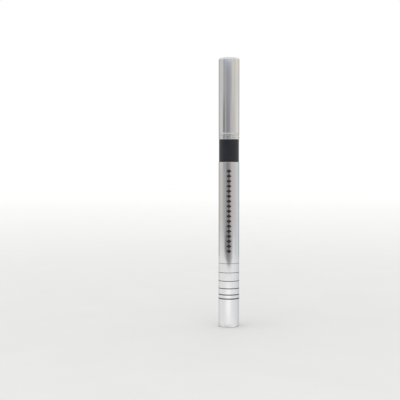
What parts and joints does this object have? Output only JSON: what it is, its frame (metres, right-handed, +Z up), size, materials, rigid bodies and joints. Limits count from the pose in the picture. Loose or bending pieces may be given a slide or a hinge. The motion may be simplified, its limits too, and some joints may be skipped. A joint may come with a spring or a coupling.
{
  "type": "liquid eyeliner pen",
  "caption": "Slim round liquid eyeliner pen with silver metal sleeves, a black centre band, a pull-off cap with a grooved mouth ring and a fine brush tip fed from an ink tank.",
  "frame": {"origin": "centre of the tail face, which the pen stands on", "axes": "+Z up along the pen, from the tail to the cap; -Y is the side that the picture shows"},
  "size_m": [0.0104, 0.0104, 0.137],
  "materials": {
    "silver_metal": "polished, clear lacquered",
    "bright_metal": "bright polished",
    "black_band": "satin black",
    "black_plastic": "moulded satin black",
    "milky_plastic": "moulded, natural polypropylene",
    "seal_plastic": "soft moulded polyethylene",
    "seal_rubber": "moulded",
    "fibre": "bonded fibre rod",
    "brush_filament": "fine nylon filaments, wet with black ink",
    "steel": "bright"
  },
  "bodies": {
    "barrel": {"tail_plug": "silver_metal", "barrel_sleeve": "silver_metal", "tank_stopper": "seal_plastic", "ink_tank": "milky_plastic", "front_section": "black_plastic", "front_seal_ring": "seal_rubber", "ink_collector": "milky_plastic", "feed_wick": "fibre", "relay_core": "fibre", "centre_band": "black_band", "nose_cone": "black_plastic", "tip_holder": "black_plastic", "brush_tip": "brush_filament"},
    "stirrer": {"mixing_ball": "steel"},
    "cap": {"cap_sleeve": "silver_metal", "cap_mouth_ring": "bright_metal", "cap_liner": "milky_plastic", "liner_plug": "milky_plastic", "seal_spring": "steel"},
    "seal": {"seal_cup": "seal_plastic"}
  },
  "joints": [
    {"name": "cap_pull", "type": "slide", "parent": "barrel", "child": "cap", "axis": [0, 0, 1], "range_m": [0, 0.045]},
    {"name": "seal_press", "type": "slide", "parent": "cap", "child": "seal", "axis": [0, 0, 1], "range_m": [0, 0.0012], "stiffness_N_per_m": 150, "springref_m": -0.002, "deforming": ["seal_spring"]},
    {"name": "ball_run", "type": "slide", "parent": "barrel", "child": "stirrer", "axis": [0, 0, 1], "range_m": [0, 0.0445]}
  ]
}
